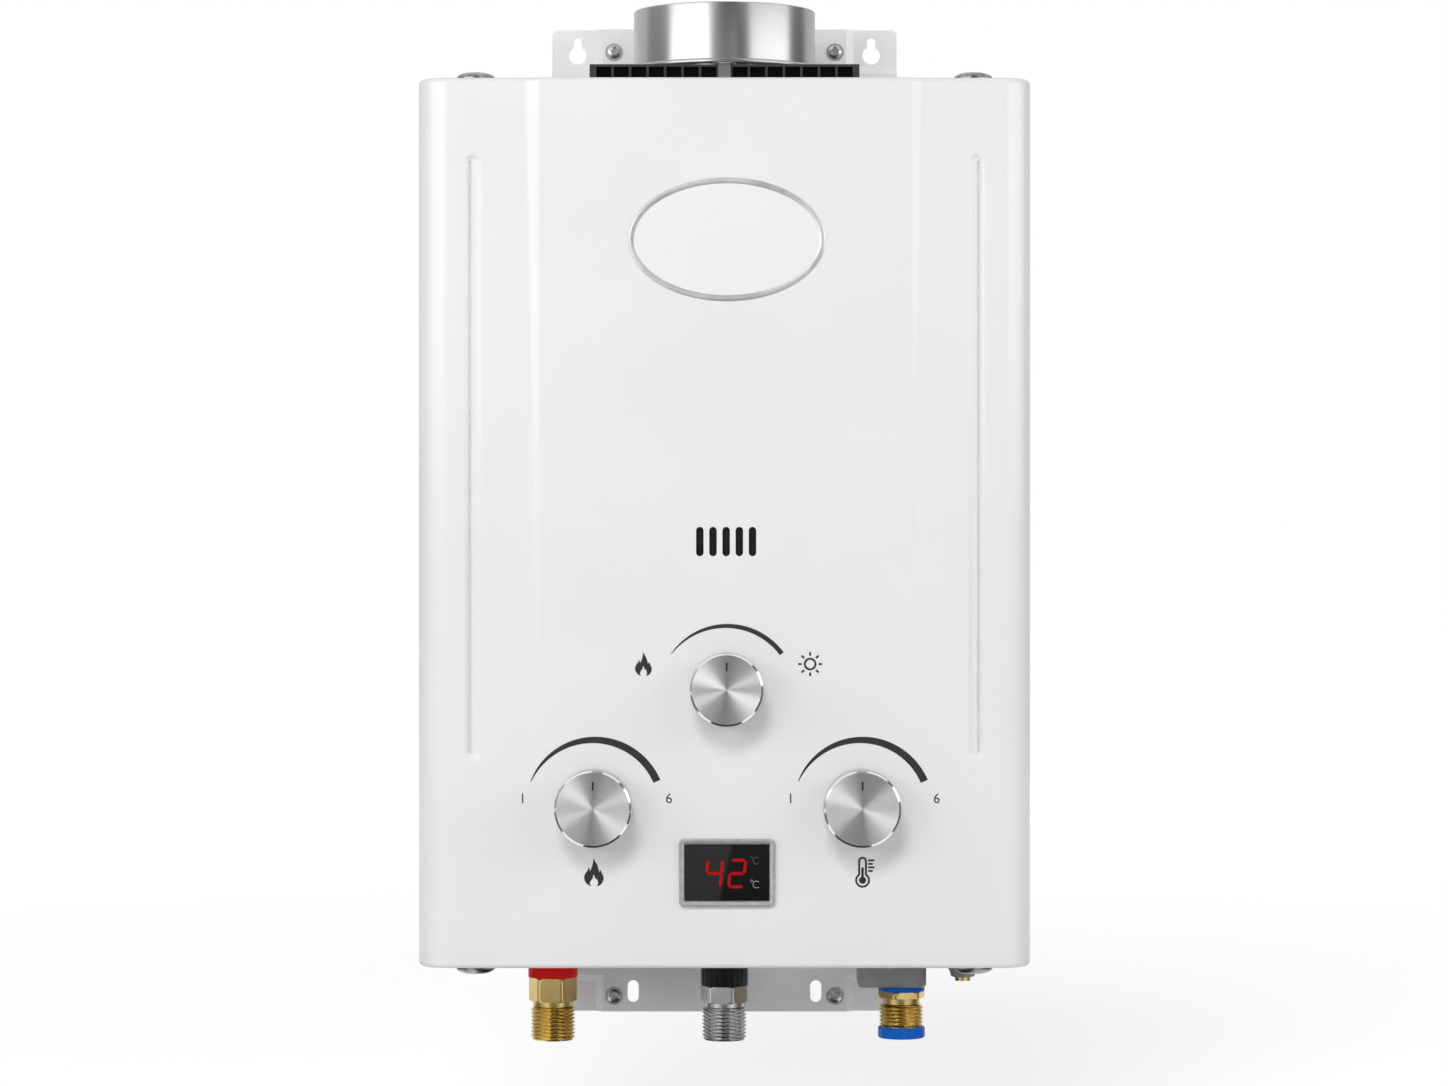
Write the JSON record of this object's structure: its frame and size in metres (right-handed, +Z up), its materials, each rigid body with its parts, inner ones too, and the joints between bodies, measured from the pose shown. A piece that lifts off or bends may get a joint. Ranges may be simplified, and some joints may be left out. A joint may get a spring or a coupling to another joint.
{
  "type": "tankless gas water heater",
  "caption": "Wall-hung tankless gas water heater with a flue collar, control knobs, a display, pipe fittings below, and a burner and heat exchanger inside.",
  "frame": {"origin": "on the wall plane, midway between the head holes of the two hanging keyholes", "axes": "+X to the right seen from the front, +Y from the room into the wall, +Z up"},
  "size_m": [0.297, 0.139, 0.5103],
  "materials": {
    "white_paint": "satin",
    "galvanised_steel": "satin",
    "stainless_steel": "brushed",
    "dark_screw": "satin",
    "black_plastic": "matte",
    "spun_metal": "spun",
    "copper": "satin",
    "brass": "satin",
    "plated_steel": "satin",
    "cast_alloy": "cast",
    "grey_casting": "matte",
    "rubber": "matte",
    "red_plastic": "gloss",
    "blue_plastic": "gloss",
    "silver_plastic": "gloss",
    "dark_glass": "gloss",
    "mica": "gloss",
    "ceramic": "gloss",
    "cell_jacket": "gloss"
  },
  "bodies": {
    "heater": {"front_cover": "white_paint", "back_plate": "galvanised_steel", "upper_wall_bracket": "galvanised_steel", "lower_wall_bracket": "galvanised_steel", "cover_screws": "dark_screw", "flue_collar": "stainless_steel", "top_vent_grille": "black_plastic", "draught_hood": "galvanised_steel", "combustion_chamber": "copper", "exchanger_fins": "copper", "exchanger_tube": "copper", "chamber_straps": "galvanised_steel", "viewing_window": "mica", "burner_tray": "galvanised_steel", "burner_bars": "stainless_steel", "gas_manifold": "cast_alloy", "gas_jets": "brass", "season_valve": "cast_alloy", "gas_valve": "cast_alloy", "diaphragm_cover": "brass", "diaphragm": "rubber", "micro_switch": "black_plastic", "water_valve": "grey_casting", "display_bezel": "silver_plastic", "display_lens": "dark_glass", "display_board": "black_plastic", "hot_outlet_fitting": "brass", "hot_outlet_ring": "red_plastic", "hot_outlet_pipe": "copper", "gas_inlet_pipe": "plated_steel", "gas_inlet_sleeve": "rubber", "cold_inlet_fitting": "brass", "cold_inlet_ring": "blue_plastic", "cold_riser_pipe": "copper", "relief_valve": "brass", "battery_box": "black_plastic", "battery_door_pin": "stainless_steel", "batteries": "cell_jacket", "igniter_box": "black_plastic", "ignition_electrode": "ceramic", "flame_sensor": "ceramic", "overheat_switch": "stainless_steel", "temperature_probe": "plated_steel"},
    "season_control": {"season_knob": "spun_metal", "season_spindle": "brass"},
    "gas_control": {"gas_knob": "spun_metal", "gas_spindle": "brass"},
    "water_temperature_control": {"water_temperature_knob": "spun_metal", "water_temperature_spindle": "brass"},
    "push_rod": {"push_rod": "stainless_steel"},
    "battery_door": {"battery_door": "black_plastic"},
    "cold_inlet_cap": {"cold_inlet_cap": "blue_plastic"}
  },
  "joints": [
    {"name": "season_turn", "type": "hinge", "parent": "heater", "child": "season_control", "pos_m": [0.001, -0.13, -0.3195], "axis": [0, 1, 0], "range_deg": [-56, 56]},
    {"name": "gas_turn", "type": "hinge", "parent": "heater", "child": "gas_control", "pos_m": [-0.063, -0.13, -0.3765], "axis": [0, 1, 0], "range_deg": [-67, 67]},
    {"name": "water_temperature_turn", "type": "hinge", "parent": "heater", "child": "water_temperature_control", "pos_m": [0.066, -0.13, -0.3765], "axis": [0, 1, 0], "range_deg": [-67, 67]},
    {"name": "push_rod_slide", "type": "slide", "parent": "heater", "child": "push_rod", "axis": [-1, 0, 0], "range_m": [0, 0.004], "stiffness_N_per_m": 300},
    {"name": "battery_door_swing", "type": "hinge", "parent": "heater", "child": "battery_door", "pos_m": [-0.03675, -0.0435, -0.4525], "axis": [-1, 0, 0], "range_deg": [0, 92]},
    {"name": "cold_cap_pull", "type": "slide", "parent": "heater", "child": "cold_inlet_cap", "axis": [0, 0, -1], "range_m": [0, 0.06]}
  ]
}
